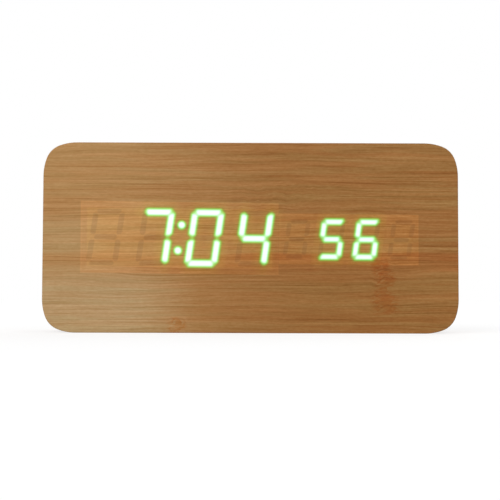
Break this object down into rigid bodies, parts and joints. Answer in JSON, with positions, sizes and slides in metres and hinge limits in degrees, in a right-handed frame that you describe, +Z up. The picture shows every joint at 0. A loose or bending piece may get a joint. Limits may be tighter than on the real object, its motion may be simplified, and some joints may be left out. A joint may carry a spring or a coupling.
{
  "type": "digital led desk clock",
  "caption": "Wood-veneered block clock with LED digits that shine through the front, a rear cover with a sliding battery door and push buttons.",
  "frame": {"origin": "on the underside, below the middle of the block", "axes": "+Z up, +X to the right as seen from the front, the front faces -Y"},
  "size_m": [0.205, 0.044, 0.094],
  "materials": {
    "bamboo_veneer": "satin",
    "core_board": "raw",
    "module_case": "matt",
    "lit_bars": "lit",
    "dark_bars": "satin",
    "tinned_steel": "bright",
    "contact_nickel": "bright",
    "circuit_board": "lacquered",
    "screw_steel": "blackened",
    "chip_plastic": "matt",
    "resistor_glaze": "glossy",
    "can_metal": "drawn",
    "capacitor_sleeve": "glossy",
    "black_plastic": "satin",
    "header_plastic": "satin",
    "cover_plastic": "fine texture",
    "cell_jacket": "printed foil, blank",
    "button_plastic": "satin",
    "plunger_plastic": "satin",
    "pin_brass": "bright",
    "bead_glaze": "glossy",
    "grey_insulation": "satin",
    "red_insulation": "satin",
    "black_insulation": "satin"
  },
  "bodies": {
    "case": {"wood_core": "core_board", "front_veneer": "bamboo_veneer", "edge_veneer": "bamboo_veneer", "base_veneer": "bamboo_veneer", "back_veneer": "bamboo_veneer", "large_module_case": "module_case", "large_lit_bars": "lit_bars", "large_dark_bars": "dark_bars", "small_module_case": "module_case", "small_lit_bars": "lit_bars", "small_dark_bars": "dark_bars", "module_pins": "tinned_steel", "display_board": "circuit_board", "board_screws": "screw_steel", "chip_bodies": "chip_plastic", "chip_legs": "tinned_steel", "chip_resistors": "resistor_glaze", "crystal": "can_metal", "capacitor": "capacitor_sleeve", "buzzer": "black_plastic", "display_header": "header_plastic", "signal_header": "header_plastic", "battery_header": "header_plastic", "rear_cover": "cover_plastic", "cover_screws": "screw_steel", "battery_cell_1": "cell_jacket", "battery_cell_2": "cell_jacket", "battery_cell_3": "cell_jacket", "battery_cell_4": "cell_jacket", "contact_plates": "contact_nickel", "contact_springs": "contact_nickel", "control_board": "circuit_board", "control_screws": "screw_steel", "switch_bodies": "black_plastic", "switch_legs": "tinned_steel", "power_jack": "black_plastic", "jack_pin": "pin_brass", "microphone": "can_metal", "thermistor": "bead_glaze", "signal_leads": "grey_insulation", "red_battery_lead": "red_insulation", "black_battery_lead": "black_insulation"},
    "battery_door": {"battery_door": "cover_plastic"},
    "set_button": {"set_button": "button_plastic", "set_plunger": "plunger_plastic"},
    "up_button": {"up_button": "button_plastic", "up_plunger": "plunger_plastic"},
    "down_button": {"down_button": "button_plastic", "down_plunger": "plunger_plastic"}
  },
  "joints": [
    {"name": "door_slide", "type": "slide", "parent": "case", "child": "battery_door", "axis": [1, 0, 0], "range_m": [0, 0.05]},
    {"name": "set_press", "type": "slide", "parent": "case", "child": "set_button", "axis": [0, -1, 0], "range_m": [0, 0.0005], "stiffness_N_per_m": 400, "springref_m": -0.0005},
    {"name": "up_press", "type": "slide", "parent": "case", "child": "up_button", "axis": [0, -1, 0], "range_m": [0, 0.0005], "stiffness_N_per_m": 400, "springref_m": -0.0005},
    {"name": "down_press", "type": "slide", "parent": "case", "child": "down_button", "axis": [0, -1, 0], "range_m": [0, 0.0005], "stiffness_N_per_m": 400, "springref_m": -0.0005}
  ]
}
